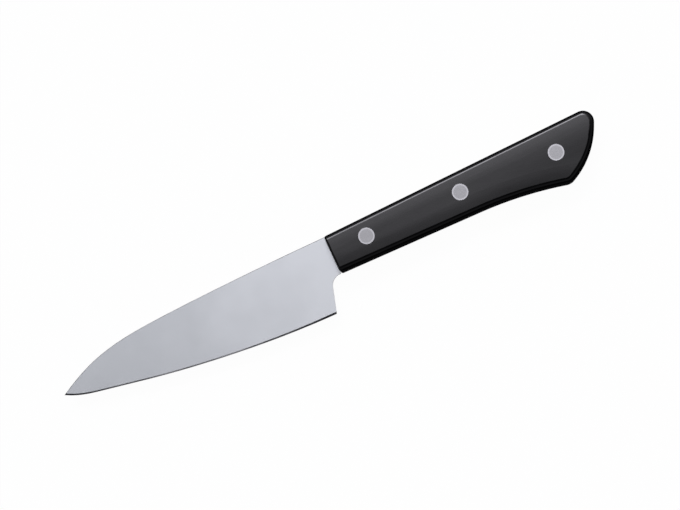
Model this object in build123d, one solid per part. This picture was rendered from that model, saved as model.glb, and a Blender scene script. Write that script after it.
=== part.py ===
from build123d import *
import math
import os

# A paring knife, lying on its right side.
# The point is towards -X, the butt towards +X, the spine towards +Y and the cutting edge towards -Y.
# It is drawn about the axis of the handle, with x = 0 at the handle's front face.
# The blade's middle plane is z = 0.
# At the end all the pieces move together, so that the origin is the centre of the footprint, on the table.

# Blade
blade_length = 106.1
blade_depth = 26.2
blade_thickness = 1.6
spine_height = 6.98
tip_drop = 11.7
neck_depth = 14.0
heel_setback = 7.3
choil_setback = 3.7
choil_radius = 4.2
spine_bevel = 0.15

# Spine between neck and point: share of the blade's length, share of the drop to the point
spine_curve_shares = [(0.2, 0.005), (0.38, 0.031), (0.62, 0.107), (0.755, 0.214), (0.87, 0.455), (0.94, 0.714)]

# Cutting edge between heel and point: share of its run along the blade, share of its rise to the point
edge_curve_shares = [(0.20, 0.055), (0.43, 0.205), (0.655, 0.431), (0.86, 0.70), (0.946, 0.838)]

# Flat grind from the spine down: thickness left above the bevel at the heel and at the point
heel_thickness = 0.46
tip_thickness = 0.42
spine_grind_depth = 0.05

# Second bevel at the cutting edge
bevel_angle = 17.0
edge_land = 0.04

# Handle
handle_front_height = 13.6
handle_thickness = 13.0
spine_side_length = 104.1
spine_side_rise = 2.15
belly_length = 86.0
belly_drop = 5.55
butt_bow = 3.45
butt_top_radius = 3.9
butt_low_radius = 4.3
handle_edge_round = 1.8
front_edge_round = 0.8

# Where the belly bends from its straight run into the flare: shares of its length and of its drop
belly_bend_length_share = 0.62
belly_bend_drop_share = 0.195

# Crowned sides of the handle: a flat land, and along each long edge a band that falls away in an arc
crown_width = 6.0
crown_drop = 0.35

# Tang and its slot, which is open at the spine and at the front
belly_wall = 3.4
tang_length = 91.5
tang_end_radius = 6.0
slot_clearance = 0.05

# Cutler's rivets: a tube half with its head on the left side, a pin half with its head on the right side
rivet_setback = 13.7
rivet_pitch = 36.0
rivet_height_share = 0.54
rivet_head_diameter = 6.0
rivet_head_depth = 2.2
rivet_rim_width = 0.15
rivet_rim_depth = 0.06
rivet_tube_diameter = 4.4
rivet_pin_diameter = 2.8
rivet_pin_length = 7.5
rivet_end_gap = 0.3
head_clearance = 0.03
tube_clearance = 0.05
tang_hole_clearance = 0.1
pin_clearance = 0.02
rivet_names = ["front", "middle", "rear"]

# How far cutting bodies run past what they cut
cut_overrun = 3.0

# How far from zero the upright part of a wall's unit normal may be
wall_tolerance = 0.01


def slab(outline, thickness):
    """A flat piece of some thickness, half of it on each side of the middle plane."""
    return Pos(0, 0, -thickness / 2) * extrude(outline, amount=thickness)


def tip_point():
    """The point of the blade."""
    return (-blade_length, spine_height - tip_drop)


def heel_point():
    """The rear end of the cutting edge."""
    return (-heel_setback, spine_height - blade_depth)


def spine_curve():
    """Spine of the blade, from the neck to the point."""
    points = [(0, spine_height)]
    for along_share, drop_share in spine_curve_shares:
        points.append((-along_share * blade_length, spine_height - drop_share * tip_drop))
    points.append(tip_point())
    return Spline(*points)


def edge_curve():
    """Cutting edge, from the heel to the point."""
    heel_x, heel_y = heel_point()
    tip_x, tip_y = tip_point()
    points = [heel_point()]
    for along_share, rise_share in edge_curve_shares:
        points.append((heel_x + along_share * (tip_x - heel_x), heel_y + rise_share * (tip_y - heel_y)))
    points.append(tip_point())
    return Spline(*points)


def blade_outline():
    """Side view of the blade from the handle's front face to the point."""
    neck_low = (0, spine_height - neck_depth)
    choil_corner = (-choil_setback, spine_height - neck_depth)
    choil = FilletPolyline(heel_point(), choil_corner, neck_low, radius=choil_radius)
    neck_end = Line(neck_low, (0, spine_height))
    return make_face([spine_curve(), edge_curve(), choil, neck_end])


def belly_height(drop_share):
    """Height of the belly where it has fallen by a share of its drop."""
    return -handle_front_height / 2 - drop_share * belly_drop


def belly_curve(lift):
    """Belly of the handle, raised by lift: straight from the front, then an arc down to the flare."""
    start = (0, belly_height(0) + lift)
    bend = (belly_bend_length_share * belly_length, belly_height(belly_bend_drop_share) + lift)
    end = (belly_length, belly_height(1) + lift)
    straight = Line(start, bend)
    return Wire([straight, TangentArc(bend, end, tangent=straight % 1)])


def spine_side_height(x):
    """Height of the handle's straight spine side."""
    return handle_front_height / 2 + spine_side_rise * x / spine_side_length


def handle_outline():
    """Side view of the handle."""
    front_top = (0, spine_side_height(0))
    butt_top = (spine_side_length, spine_side_height(spine_side_length))
    butt_low = (belly_length, belly_height(1))
    spine_side = Line(front_top, butt_top)
    butt = SagittaArc(butt_low, butt_top, -butt_bow)
    front = Line((0, belly_height(0)), front_top)
    outline = make_face([spine_side, butt, *belly_curve(0).edges(), front])
    outline = fillet(outline.vertices().sort_by(Axis.X)[-1:], radius=butt_top_radius)
    low_corner = outline.vertices().sort_by_distance(butt_low)[:1]
    return fillet(low_corner, radius=butt_low_radius)


def plane_across(path):
    """Section plane at the start of a path with the piece on its right: x goes into the piece, y up."""
    inward = (path % 0).cross(Vector(0, 0, 1))
    return Plane(origin=path @ 0, x_dir=inward, z_dir=-(path % 0))


def run_past(curve, length):
    """A curve, carried on straight by some length at both of its ends."""
    before = Line(curve @ 0 - (curve % 0) * length, curve @ 0)
    after = Line(curve @ 1, curve @ 1 + (curve % 1) * length)
    return Wire([before, *curve.edges(), after])


def crown_cutter(long_edge):
    """What is above the left side of the handle, with the band that falls away along one long edge."""
    face_height = handle_thickness / 2
    butt_height = spine_side_height(spine_side_length) - belly_height(1)
    radius = (crown_width ** 2 + crown_drop ** 2) / (2 * crown_drop)
    sweep_angle = math.degrees(math.asin((crown_width + cut_overrun) / radius))
    band = CenterArc((crown_width, face_height - radius), radius, 90, sweep_angle)
    top = face_height + cut_overrun
    reach = butt_height + cut_overrun
    land = Line((reach, face_height), band @ 0)
    above = Polyline(band @ 1, (-cut_overrun, top), (reach, top), (reach, face_height))
    path = run_past(long_edge, butt_height)
    return sweep(plane_across(path) * make_face([land, band, above]), path=path)


def is_wall(face):
    """Whether a face stands square to the side view."""
    return abs(face.normal_at().Z) < wall_tolerance


def is_level(edge):
    """Whether an edge runs along the side view and not across it."""
    return abs(edge.tangent_at(0.5).Z) < 0.5


def handle_body():
    """The handle before its slot and rivet holes are cut, with its edges rounded."""
    spine_side = Line((0, spine_side_height(0)), (spine_side_length, spine_side_height(spine_side_length)))
    flare, straight = [edge.reversed() for edge in belly_curve(0).edges().sort_by(Axis.X, reverse=True)]
    body = slab(handle_outline(), handle_thickness + 2 * cut_overrun)
    body -= both_sides(crown_cutter(spine_side))
    body -= both_sides(crown_cutter(Wire([flare, straight])))
    rim = []
    for wall in body.faces().filter_by(is_wall).sort_by(Axis.X)[1:]:
        rim.extend(wall.edges().filter_by(is_level))
    body = fillet(rim, radius=handle_edge_round)
    front = body.faces().sort_by(Axis.X)[0]
    return fillet(front.edges(), radius=front_edge_round)


def tang_strip(gap):
    """Side view of the tang's room, wider by gap, and open past the handle's front and spine side."""
    low_curve = belly_curve(belly_wall - gap)
    start_y = (low_curve @ 0).Y
    end_y = (low_curve @ 1).Y
    far_x = spine_side_length + cut_overrun
    top = spine_side_height(far_x) + cut_overrun
    front_run = Line((-cut_overrun, start_y), (0, start_y))
    rear_run = Polyline((belly_length, end_y), (far_x, end_y), (far_x, top), (-cut_overrun, top))
    front_side = Line((-cut_overrun, top), (-cut_overrun, start_y))
    above_belly = make_face([front_run, *low_curve.edges(), rear_run, front_side])
    end_x = tang_length + gap
    corners = [(-cut_overrun, end_y), (end_x, end_y), (end_x, top), (-cut_overrun, top)]
    before_end = make_face(Polyline(*corners, close=True))
    low_corner = before_end.vertices().sort_by_distance((end_x, end_y))[:1]
    return above_belly & fillet(low_corner, radius=tang_end_radius + gap)


def rivet_places():
    """Centre of each rivet in side view, a little above the middle of the handle's section there."""
    places = {}
    outline = handle_outline()
    reach = handle_front_height + belly_drop + spine_side_rise
    for index, name in enumerate(rivet_names):
        x = rivet_setback + index * rivet_pitch
        section = (outline & Line((x, -reach), (x, reach))).edges()[0].bounding_box()
        places[name] = (x, section.min.Y + rivet_height_share * (section.max.Y - section.min.Y))
    return places


def rod(place, diameter, low, high):
    """A round bar or hole across the handle, between two heights."""
    return Pos(place[0], place[1], low) * extrude(Circle(diameter / 2), amount=high - low)


def grind_cutter():
    """What grinding takes off the left side of the blade, from the handle's front face to the point."""
    start = Vector(0, spine_height, blade_thickness / 2 - spine_grind_depth)
    heel = Vector(*heel_point(), heel_thickness / 2)
    tip = Vector(*tip_point(), tip_thickness / 2)
    normal = (tip - start).cross(heel - start).normalized()
    along = Vector(1, 0, 0) - normal * normal.X
    ground_plane = Plane(origin=start, x_dir=along, z_dir=normal)
    reach = 2 * (blade_length + blade_depth + cut_overrun)
    return ground_plane * extrude(Rectangle(reach, reach), amount=blade_thickness)


def bevel_cutter():
    """What sharpening takes off the left side of the cutting edge."""
    path = run_past(edge_curve(), cut_overrun)
    slope = math.tan(math.radians(bevel_angle))
    rise = blade_thickness
    low = (-cut_overrun, edge_land / 2 - slope * cut_overrun)
    far = ((rise - edge_land / 2) / slope, rise)
    high = (-cut_overrun, rise)
    return sweep(plane_across(path) * make_face(Polyline(low, far, high, close=True)), path=path)


def both_sides(cutter):
    """A cutter for the left side of the knife, with its mirror image for the right side."""
    return [cutter, mirror(cutter, about=Plane.XY)]


def make_blade():
    """Blade and tang in one piece, ground flat from the spine and bevelled at the edge."""
    blade = slab(blade_outline(), blade_thickness) - both_sides(grind_cutter())
    spine = blade.faces().filter_by(is_wall).sort_by(Axis.Y)[-1]
    blade = chamfer(spine.edges().filter_by(is_level), length=spine_bevel) - both_sides(bevel_cutter())
    blade += slab(tang_strip(0) & handle_outline(), blade_thickness)
    hole_diameter = rivet_tube_diameter + 2 * tang_hole_clearance
    for place in rivet_places().values():
        blade -= rod(place, hole_diameter, -blade_thickness, blade_thickness)
    return blade


def make_handle():
    """The moulded handle, with the slot for the tang and the stepped holes for the rivets."""
    handle = handle_body() - slab(tang_strip(slot_clearance), blade_thickness + 2 * slot_clearance)
    face_height = handle_thickness / 2
    seat_height = face_height - rivet_head_depth
    for place in rivet_places().values():
        handle -= rod(place, rivet_tube_diameter + 2 * tube_clearance, -face_height, face_height)
        handle -= both_sides(rod(place, rivet_head_diameter + 2 * head_clearance, seat_height, face_height))
    return handle


def rivet_head(place):
    """A rivet's head on the left side, flush with the handle and with a shallow bevel round its rim."""
    face_height = handle_thickness / 2
    head = rod(place, rivet_head_diameter, face_height - rivet_head_depth, face_height)
    face = head.faces().sort_by(Axis.Z)[-1]
    return chamfer(face.edges(), length=rivet_rim_width, length2=rivet_rim_depth, reference=face)


def make_rivet_tube(place):
    """Half of a cutler's rivet: the head on the left side, with a tube through handle and tang."""
    seat_height = handle_thickness / 2 - rivet_head_depth
    tube = rod(place, rivet_tube_diameter, rivet_end_gap - seat_height, seat_height)
    bore_top = rivet_pin_length + rivet_end_gap - seat_height
    bore = rod(place, rivet_pin_diameter + 2 * pin_clearance, -seat_height, bore_top)
    return rivet_head(place) + tube - bore


def make_rivet_pin(place):
    """Half of a cutler's rivet: the head on the right side, with a pin that is pressed up the tube."""
    seat_height = handle_thickness / 2 - rivet_head_depth
    head = mirror(rivet_head(place), about=Plane.XY)
    return head + rod(place, rivet_pin_diameter, -seat_height, rivet_pin_length - seat_height)


def make_pieces():
    """All the pieces of the knife by name, in the handle's own position."""
    pieces = {"blade": make_blade(), "handle": make_handle()}
    for name, place in rivet_places().items():
        pieces[name + "_rivet_tube"] = make_rivet_tube(place)
        pieces[name + "_rivet_pin"] = make_rivet_pin(place)
    return pieces


pieces = make_pieces()
footprint = Compound(list(pieces.values())).bounding_box()
to_table = Pos(-footprint.center().X, -footprint.center().Y, -footprint.min.Z)
os.makedirs("parts", exist_ok=True)
for node, piece in pieces.items():
    export_step(to_table * piece, "parts/" + node + ".step")
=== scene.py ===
import bpy
import math
from mathutils import Matrix, Vector


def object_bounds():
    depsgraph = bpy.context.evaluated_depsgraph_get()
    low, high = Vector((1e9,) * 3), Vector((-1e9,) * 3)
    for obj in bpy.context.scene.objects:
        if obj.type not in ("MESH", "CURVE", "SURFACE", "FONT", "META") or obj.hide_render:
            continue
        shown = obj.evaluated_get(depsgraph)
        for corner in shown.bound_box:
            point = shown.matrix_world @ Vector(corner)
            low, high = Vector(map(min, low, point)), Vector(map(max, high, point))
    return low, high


# A paring knife on a pale floor, seen from above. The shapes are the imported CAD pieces.
# This script gives them their finishes, and adds the floor, the light and the camera.
# Lengths are in metres. A range is (from, to, value at from, value at to).

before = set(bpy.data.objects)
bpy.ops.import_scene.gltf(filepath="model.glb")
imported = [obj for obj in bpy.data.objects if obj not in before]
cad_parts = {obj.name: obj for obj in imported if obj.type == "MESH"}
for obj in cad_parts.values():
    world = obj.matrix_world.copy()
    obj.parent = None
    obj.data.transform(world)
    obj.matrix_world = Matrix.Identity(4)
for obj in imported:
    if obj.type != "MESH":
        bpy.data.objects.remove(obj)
cad_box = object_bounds()

# Camera: the knife leans to the lower left in the picture
PICTURE_WIDTH = 680
FOCAL_PIXELS = 3428.57
SENSOR_WIDTH = 36.0
CAMERA_POINT = Vector((0.04597, -0.11071, 1.20025))
CAMERA_TILT = 5.5
CAMERA_SWING = 2.0
CAMERA_ROLL = 24.998
CLIP_NEAR = 0.05
CLIP_FAR = 50.0

# Floor
FLOOR_SIZE = 6.0
FLOOR_DROP = 0.00002
FLOOR_COLOUR = (0.03, 0.03, 0.03, 1)
FLOOR_ROUGHNESS = 0.9
FLOOR_SPECULAR = 0.0
FLOOR_GLOW_COLOUR = (1, 1, 1, 1)
FLOOR_GLOW = 0.975

# Share of a noise that the finishes use, between its darker and its lighter patches
NOISE_LOW = 0.3
NOISE_HIGH = 0.7

# Blade steel: noise scales along, across and through the blade, then tones and roughness
STEEL_GRAIN = (5200, 90, 5200)
STEEL_GRAIN_DETAIL = 3.0
STEEL_CLOUD = (60, 60, 60)
STEEL_CLOUD_DETAIL = 2.0
STEEL_CLOUD_SHARE = (NOISE_LOW, NOISE_HIGH, 0.0, 0.45)
# The lighter tone serves both the random clouds and the painted sheen towards the heel
STEEL_DARK = (0.532, 0.554, 0.562, 1)
STEEL_LIGHT = (0.655, 0.678, 0.686, 1)
STEEL_ROUGHNESS = (NOISE_LOW, NOISE_HIGH, 0.30, 0.35)
STEEL_BUMP_DEPTH = 0.000004
STEEL_BUMP_STRENGTH = 0.06

# Painted sheen on the blade: how much its colour lightens along the blade piece, from the point towards the
# heel, as if more light fell there
PAINTED_HEEL_SHEEN = (0.22, 0.52, 0.0, 0.95)

# Second bevel of the blade: told from the sides by how far a face looks up
BEVEL_SLOPE = (0.985, 0.97, 0.0, 1.0)
# The bevel's colour is a painted reflection: a dark tone as painted shade and a light tone as a painted
# highlight
BEVEL_PAINTED_DARK = (0.12, 0.12, 0.13, 1)
BEVEL_PAINTED_LIGHT = (0.85, 0.85, 0.87, 1)
BEVEL_BANDS = (55, 4, 4)
BEVEL_BANDS_DETAIL = 1.0
BEVEL_BAND_SHARE = (0.42, 0.58, 0.4, 1.0)
BEVEL_ADDED_ROUGHNESS = (0.0, 1.0, 0.0, 0.16)

# Where along the blade piece the painted highlight on the second bevel is brightest, and how it fades from
# there into painted shade
BEVEL_PAINTED_HIGHLIGHT_PLACE = 0.24
BEVEL_PAINTED_HIGHLIGHT_FADE = (0.06, 0.24, 1.0, 0.0)

# Handle plastic: noise scales along, across and through the handle, then tones and roughness
PLASTIC_GRAIN = (2600, 2600, 2600)
PLASTIC_GRAIN_DETAIL = 3.0
PLASTIC_CLOUD = (150, 240, 240)
PLASTIC_CLOUD_DETAIL = 3.0
PLASTIC_CLOUD_SHARE = (NOISE_LOW, NOISE_HIGH, 0.0, 1.0)
PLASTIC_DARK = (0.0012, 0.0012, 0.0014, 1)
PLASTIC_LIGHT = (0.0020, 0.0020, 0.0023, 1)
PLASTIC_SPECULAR = 0.5
PLASTIC_ROUGHNESS = (NOISE_LOW, NOISE_HIGH, 0.14, 0.22)
PLASTIC_EDGE_ROUGHNESS = (0.2, 0.97, -0.03, 0.0)
PLASTIC_WAVE_DEPTH = 0.00006
PLASTIC_WAVE_STRENGTH = 0.4
PLASTIC_GRAIN_DEPTH = 0.00001
PLASTIC_GRAIN_STRENGTH = 0.3

# Crown of the handle's flared half: the sides tip a little towards the belly, in one smooth fall from a height
# above the middle to the lower edge, and most at the butt. The CAD land is flat there, so this is shading only.
CROWN_FALL = (0.0078, -0.006, 0.0, -0.0005)
CROWN_SHARE = (0.05, 0.095, 0.0, 1.0)
CROWN_BUMP_DISTANCE = 1.0

# Rivet steel: places on a head are shares of its width, from 0 to 1
RIVET_CENTRE = 0.5
RIVET_RING_SCALE = 60.0
RIVET_RING_DETAIL = 2.0
RIVET_RING_DEPTH = 0.000006
RIVET_GRAIN = (900, 7000, 900)
RIVET_GRAIN_DETAIL = 3.0
RIVET_GRAIN_TURN = 0.5
RIVET_GRAIN_DEPTH = 0.000005
RIVET_BUMP_STRENGTH = 0.4
RIVET_TONE = (0.33, 0.33, 0.335, 1)
RIVET_RIM = (0.385, 0.41, 0.0, 1.0)
RIVET_RIM_TONE = (0.47, 0.47, 0.48, 1)
# The bevel round a head is rougher, and its colour is painted darker as shade
RIVET_SLOPE = (0.99, 0.95, 0.0, 1.0)
RIVET_SLOPE_PAINTED_SHADE = (0.24, 0.24, 0.245, 1)
RIVET_ROUGHNESS = (NOISE_LOW, NOISE_HIGH, 0.26, 0.40)
RIVET_SLOPE_ROUGHNESS = (0.0, 1.0, 0.0, 0.3)

# World: light by direction, with the radiance at each end of a range.
# It rises from the edge's side to overhead, then to the spine's side, where a bright band lies well above the
# horizon. Between that band and the horizon the room is dim, and a little dimmer on the edge's side.
OVERHEAD_RISE = (-0.24, -0.10, 0.02, 0.60)
SPINE_SIDE_RISE = (-0.05, 0.75, 0.0, 3.5)
SPINE_GLOW_RISE = (0.38, 0.56, 0.0, 9.5)
BUTT_SIDE_RISE = (-0.37, 0.37, 0.0, 2.0)
BUTT_SIDE_FALL = (0.12, 0.32, 1.0, 0.12)
HORIZON_FADE = (0.67, 0.87, 0.0, 1.0)
LOW_FADE = (0.60, 0.85, 1.0, 0.0)
LOW_START = (-0.02, 0.12, 0.0, 1.0)
LOW_FILL = (-0.3, 0.3, 0.13, 0.30)
WORLD_COLOUR = (1.0, 0.99, 1.06, 1)
WORLD_FLOOR_RADIANCE = 0.005


def new_material(name):
    """A material with an empty node tree, and its shader."""
    material = bpy.data.materials.new(name)
    material.use_nodes = True
    tree = material.node_tree
    tree.nodes.clear()
    output = tree.nodes.new("ShaderNodeOutputMaterial")
    shader = tree.nodes.new("ShaderNodeBsdfPrincipled")
    tree.links.new(shader.outputs["BSDF"], output.inputs["Surface"])
    return material, tree, shader


def math_node(tree, operation, first, second=None):
    """One sum of sockets or numbers."""
    node = tree.nodes.new("ShaderNodeMath")
    node.operation = operation
    for index, value in enumerate((first, second)):
        if value is None:
            continue
        if isinstance(value, bpy.types.NodeSocket):
            tree.links.new(value, node.inputs[index])
        else:
            node.inputs[index].default_value = value
    return node.outputs[0]


def map_range(tree, value, from_low, from_high, to_low, to_high, smooth=False):
    """A value carried from one range to another, and held inside it."""
    node = tree.nodes.new("ShaderNodeMapRange")
    node.interpolation_type = "SMOOTHSTEP" if smooth else "LINEAR"
    tree.links.new(value, node.inputs["Value"])
    node.inputs["From Min"].default_value = from_low
    node.inputs["From Max"].default_value = from_high
    node.inputs["To Min"].default_value = to_low
    node.inputs["To Max"].default_value = to_high
    return node.outputs["Result"]


def places(tree, coordinates):
    """The X, Y and Z of the given texture coordinates."""
    source = tree.nodes.new("ShaderNodeTexCoord")
    parts = tree.nodes.new("ShaderNodeSeparateXYZ")
    tree.links.new(source.outputs[coordinates], parts.inputs[0])
    return parts.outputs


def stretched_noise(tree, scale, detail, rotation=0.0):
    """Noise whose grain is longer along the axes with a smaller scale."""
    source = tree.nodes.new("ShaderNodeTexCoord")
    mapping = tree.nodes.new("ShaderNodeMapping")
    mapping.inputs["Rotation"].default_value = (0, 0, rotation)
    mapping.inputs["Scale"].default_value = scale
    noise = tree.nodes.new("ShaderNodeTexNoise")
    noise.inputs["Scale"].default_value = 1.0
    noise.inputs["Detail"].default_value = detail
    tree.links.new(source.outputs["Object"], mapping.inputs["Vector"])
    tree.links.new(mapping.outputs["Vector"], noise.inputs["Vector"])
    return noise.outputs["Fac"]


def mix_colours(tree, share, low, high):
    """A colour between two others."""
    node = tree.nodes.new("ShaderNodeMix")
    node.data_type = "RGBA"
    tree.links.new(share, node.inputs["Factor"])
    for socket, colour in ((node.inputs[6], low), (node.inputs[7], high)):
        if isinstance(colour, bpy.types.NodeSocket):
            tree.links.new(colour, socket)
        else:
            socket.default_value = colour
    return node.outputs[2]


def bump(tree, height, distance, strength=1.0, under=None):
    """A bumped normal."""
    node = tree.nodes.new("ShaderNodeBump")
    node.inputs["Strength"].default_value = strength
    node.inputs["Distance"].default_value = distance
    tree.links.new(height, node.inputs["Height"])
    if under is not None:
        tree.links.new(under, node.inputs["Normal"])
    return node.outputs["Normal"]


def upright_share(tree):
    """How far a face looks up or down: 1 on the flat sides, 0 on the edges."""
    geometry = tree.nodes.new("ShaderNodeNewGeometry")
    parts = tree.nodes.new("ShaderNodeSeparateXYZ")
    tree.links.new(geometry.outputs["Normal"], parts.inputs[0])
    return math_node(tree, "ABSOLUTE", parts.outputs["Z"])


def crown_height(tree):
    """Height of the crown: a smooth fall down the handle's side, that grows towards the butt."""
    place = places(tree, "Object")
    fall = map_range(tree, place["Y"], *CROWN_FALL, smooth=True)
    return math_node(tree, "MULTIPLY", fall, map_range(tree, place["X"], *CROWN_SHARE))


def satin_tone_and_painted_sheen(tree, along):
    """Tone of the blade's sides: faint clouds, and a painted sheen that lightens them towards the heel."""
    cloud = stretched_noise(tree, STEEL_CLOUD, STEEL_CLOUD_DETAIL)
    # Painted sheen: the colour lightens towards the heel as if more light fell there
    painted_heel_sheen = map_range(tree, along, *PAINTED_HEEL_SHEEN)
    share = math_node(tree, "ADD", map_range(tree, cloud, *STEEL_CLOUD_SHARE), painted_heel_sheen)
    return mix_colours(tree, share, STEEL_DARK, STEEL_LIGHT)


def bevel_painted_reflection(tree, along):
    """Painted reflection on the second bevel: faint bands, a painted highlight in the middle and painted shade
    at both ends.
    """
    bands = stretched_noise(tree, BEVEL_BANDS, BEVEL_BANDS_DETAIL)
    from_painted_highlight = math_node(tree, "ABSOLUTE", math_node(tree, "SUBTRACT", along, BEVEL_PAINTED_HIGHLIGHT_PLACE))
    # Painted highlight: the bevel is painted light in the middle and dark, as shade, towards both ends
    bright = map_range(tree, from_painted_highlight, *BEVEL_PAINTED_HIGHLIGHT_FADE, smooth=True)
    share = math_node(tree, "MULTIPLY", map_range(tree, bands, *BEVEL_BAND_SHARE), bright)
    return mix_colours(tree, share, BEVEL_PAINTED_DARK, BEVEL_PAINTED_LIGHT)


def blade_material():
    """Satin stainless steel with a fine grain across the blade and a rougher second bevel, with a painted sheen
    towards the heel and a painted reflection on the bevel.
    """
    material, tree, shader = new_material("satin_blade_steel")
    shader.inputs["Metallic"].default_value = 1.0
    along = places(tree, "Generated")["X"]
    bevel = map_range(tree, upright_share(tree), *BEVEL_SLOPE)
    tone = mix_colours(tree, bevel, satin_tone_and_painted_sheen(tree, along), bevel_painted_reflection(tree, along))
    tree.links.new(tone, shader.inputs["Base Color"])
    grain = stretched_noise(tree, STEEL_GRAIN, STEEL_GRAIN_DETAIL)
    streaks = map_range(tree, grain, *STEEL_ROUGHNESS)
    added = map_range(tree, bevel, *BEVEL_ADDED_ROUGHNESS)
    tree.links.new(math_node(tree, "ADD", streaks, added), shader.inputs["Roughness"])
    tree.links.new(bump(tree, grain, STEEL_BUMP_DEPTH, STEEL_BUMP_STRENGTH), shader.inputs["Normal"])
    return material


def handle_material():
    """Satin black moulded plastic with a fine grain, a little smoother on its rounded edges."""
    material, tree, shader = new_material("satin_black_plastic")
    shader.inputs["Specular IOR Level"].default_value = PLASTIC_SPECULAR
    cloud = stretched_noise(tree, PLASTIC_CLOUD, PLASTIC_CLOUD_DETAIL)
    shade = map_range(tree, cloud, *PLASTIC_CLOUD_SHARE)
    tree.links.new(mix_colours(tree, shade, PLASTIC_DARK, PLASTIC_LIGHT), shader.inputs["Base Color"])
    edge = map_range(tree, upright_share(tree), *PLASTIC_EDGE_ROUGHNESS)
    rough = map_range(tree, cloud, *PLASTIC_ROUGHNESS)
    tree.links.new(math_node(tree, "ADD", rough, edge), shader.inputs["Roughness"])
    crown = bump(tree, crown_height(tree), CROWN_BUMP_DISTANCE)
    waves = bump(tree, cloud, PLASTIC_WAVE_DEPTH, PLASTIC_WAVE_STRENGTH, under=crown)
    grain = stretched_noise(tree, PLASTIC_GRAIN, PLASTIC_GRAIN_DETAIL)
    normal = bump(tree, grain, PLASTIC_GRAIN_DEPTH, PLASTIC_GRAIN_STRENGTH, under=waves)
    tree.links.new(normal, shader.inputs["Normal"])
    return material


def head_radius(tree):
    """Distance from the centre of a rivet's head, as a share of its width."""
    place = places(tree, "Generated")
    across = math_node(tree, "SUBTRACT", place["X"], RIVET_CENTRE)
    along = math_node(tree, "SUBTRACT", place["Y"], RIVET_CENTRE)
    across_square = math_node(tree, "MULTIPLY", across, across)
    along_square = math_node(tree, "MULTIPLY", along, along)
    return math_node(tree, "SQRT", math_node(tree, "ADD", across_square, along_square))


def turning_marks(tree, radius):
    """Noise in rings round the centre of a head."""
    rings = tree.nodes.new("ShaderNodeTexNoise")
    rings.noise_dimensions = "1D"
    rings.inputs["Scale"].default_value = RIVET_RING_SCALE
    rings.inputs["Detail"].default_value = RIVET_RING_DETAIL
    tree.links.new(radius, rings.inputs["W"])
    return rings.outputs["Fac"]


def rivet_material():
    """Brushed rivet steel with faint turning marks, a lighter ring near the rim, and a bevel round it that is
    rougher and painted darker as shade.
    """
    material, tree, shader = new_material("brushed_rivet_steel")
    shader.inputs["Metallic"].default_value = 1.0
    radius = head_radius(tree)
    grain = stretched_noise(tree, RIVET_GRAIN, RIVET_GRAIN_DETAIL, rotation=RIVET_GRAIN_TURN)
    face = mix_colours(tree, map_range(tree, radius, *RIVET_RIM), RIVET_TONE, RIVET_RIM_TONE)
    slope = map_range(tree, upright_share(tree), *RIVET_SLOPE)
    # Painted shade: the sloped bevel gets a darker colour
    tree.links.new(mix_colours(tree, slope, face, RIVET_SLOPE_PAINTED_SHADE), shader.inputs["Base Color"])
    rough = map_range(tree, grain, *RIVET_ROUGHNESS)
    dull = map_range(tree, slope, *RIVET_SLOPE_ROUGHNESS)
    tree.links.new(math_node(tree, "ADD", rough, dull), shader.inputs["Roughness"])
    rings = bump(tree, turning_marks(tree, radius), RIVET_RING_DEPTH, RIVET_BUMP_STRENGTH)
    normal = bump(tree, grain, RIVET_GRAIN_DEPTH, RIVET_BUMP_STRENGTH, under=rings)
    tree.links.new(normal, shader.inputs["Normal"])
    return material


def floor_material():
    """Plain white board with an even glow."""
    material, tree, shader = new_material("white_floor")
    shader.inputs["Base Color"].default_value = FLOOR_COLOUR
    shader.inputs["Roughness"].default_value = FLOOR_ROUGHNESS
    shader.inputs["Specular IOR Level"].default_value = FLOOR_SPECULAR
    shader.inputs["Emission Color"].default_value = FLOOR_GLOW_COLOUR
    shader.inputs["Emission Strength"].default_value = FLOOR_GLOW
    return material


def dress(node, material):
    """Gives a CAD piece its finish, in every slot it has."""
    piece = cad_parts[node]
    if not piece.data.materials:
        piece.data.materials.append(material)
    for slot in piece.material_slots:
        slot.material = material


def dress_pieces():
    """Gives every CAD piece its finish."""
    steel = blade_material()
    plastic = handle_material()
    rivets = rivet_material()
    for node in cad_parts:
        if node == "blade":
            dress(node, steel)
        elif node == "handle":
            dress(node, plastic)
        else:
            dress(node, rivets)


def make_floor():
    """A plain floor under the knife. Glossy pieces don't mirror it."""
    half = FLOOR_SIZE / 2
    corners = [(-half, -half, 0), (half, -half, 0), (half, half, 0), (-half, half, 0)]
    mesh = bpy.data.meshes.new("floor")
    mesh.from_pydata(corners, [], [(0, 1, 2, 3)])
    floor = bpy.data.objects.new("floor", mesh)
    bpy.context.scene.collection.objects.link(floor)
    mesh.materials.append(floor_material())
    floor.location.z = cad_box[0].z - FLOOR_DROP
    floor.visible_glossy = False


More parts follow.
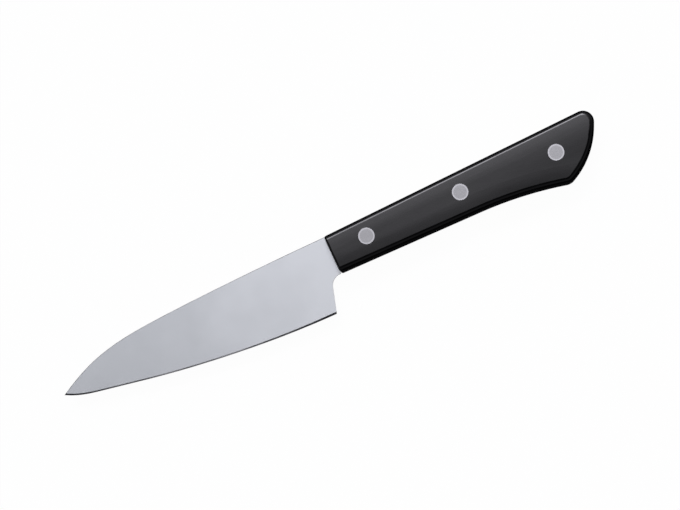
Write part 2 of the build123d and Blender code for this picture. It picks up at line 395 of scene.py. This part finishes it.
def make_world():
    """A dim room, lit from overhead and by a bright band on the spine's side."""
    world = bpy.data.worlds.new("studio")
    bpy.context.scene.world = world
    world.use_nodes = True
    tree = world.node_tree
    tree.nodes.clear()
    output = tree.nodes.new("ShaderNodeOutputWorld")
    background = tree.nodes.new("ShaderNodeBackground")
    direction = places(tree, "Generated")
    overhead = map_range(tree, direction["Y"], *OVERHEAD_RISE, smooth=True)
    spine_side = map_range(tree, direction["Y"], *SPINE_SIDE_RISE)
    spine_glow = map_range(tree, direction["Y"], *SPINE_GLOW_RISE, smooth=True)
    level = math_node(tree, "ADD", math_node(tree, "ADD", overhead, spine_side), spine_glow)
    level = math_node(tree, "MULTIPLY", level, map_range(tree, direction["X"], *BUTT_SIDE_RISE))
    level = math_node(tree, "MULTIPLY", level, map_range(tree, direction["X"], *BUTT_SIDE_FALL, smooth=True))
    level = math_node(tree, "MULTIPLY", level, map_range(tree, direction["Z"], *HORIZON_FADE, smooth=True))
    low = map_range(tree, direction["Z"], *LOW_FADE, smooth=True)
    low = math_node(tree, "MULTIPLY", low, map_range(tree, direction["Z"], *LOW_START))
    low = math_node(tree, "MULTIPLY", low, map_range(tree, direction["Y"], *LOW_FILL, smooth=True))
    level = math_node(tree, "ADD", level, low)
    tree.links.new(math_node(tree, "ADD", level, WORLD_FLOOR_RADIANCE), background.inputs["Strength"])
    tree.links.new(background.outputs["Background"], output.inputs["Surface"])
    background.inputs["Color"].default_value = WORLD_COLOUR


def make_camera():
    """The camera of the photograph, above the knife and rolled, so that the knife lies at a slant."""
    data = bpy.data.cameras.new("camera")
    data.sensor_width = SENSOR_WIDTH
    data.lens = FOCAL_PIXELS * SENSOR_WIDTH / PICTURE_WIDTH
    data.clip_start = CLIP_NEAR
    data.clip_end = CLIP_FAR
    camera = bpy.data.objects.new("camera", data)
    bpy.context.scene.collection.objects.link(camera)
    bpy.context.scene.camera = camera
    tilt, swing, roll = (math.radians(angle) for angle in (CAMERA_TILT, CAMERA_SWING, CAMERA_ROLL))
    back = Vector((math.sin(swing), -math.sin(tilt) * math.cos(swing), math.cos(tilt) * math.cos(swing)))
    level_right = (Vector((1, 0, 0)) - back * back.x).normalized()
    level_up = back.cross(level_right)
    right = level_right * math.cos(roll) - level_up * math.sin(roll)
    up = level_right * math.sin(roll) + level_up * math.cos(roll)
    turn = Matrix((right, up, back)).transposed()
    camera.matrix_world = Matrix.Translation(CAMERA_POINT) @ turn.to_4x4()


dress_pieces()
make_floor()
make_world()
make_camera()
bpy.context.scene.view_settings.view_transform = "Standard"
